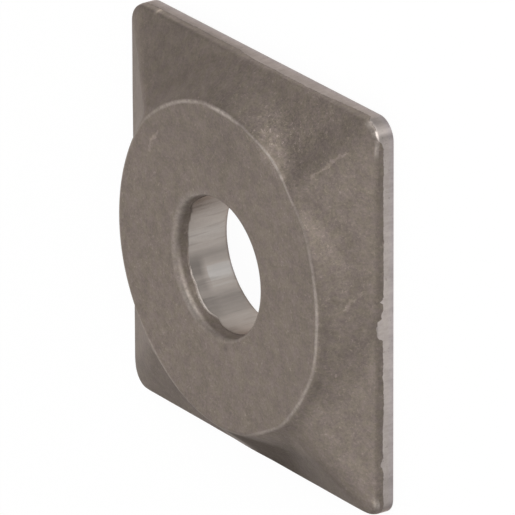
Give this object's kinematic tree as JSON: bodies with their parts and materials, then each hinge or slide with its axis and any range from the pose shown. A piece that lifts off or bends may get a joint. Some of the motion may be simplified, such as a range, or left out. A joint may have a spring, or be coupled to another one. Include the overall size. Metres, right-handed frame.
{
  "type": "square pressure plate",
  "caption": "Square forged steel pressure plate with a flat back, a sheared rim, sides that slope up to a raised round seat, and a plain bolt hole through the middle.",
  "frame": {"origin": "on the bolt hole's axis, in the flat back face that the plate lies on", "axes": "+Z along the bolt hole towards the round seat, X and Y parallel to the sides of the square"},
  "size_m": [0.05, 0.05, 0.0076],
  "materials": {
    "forged_steel": "shot-blasted grey-brown forging skin, with a bright sheared rim and a bright pierced bore"
  },
  "bodies": {
    "root": {"pressure_plate": "forged_steel"}
  },
  "joints": []
}
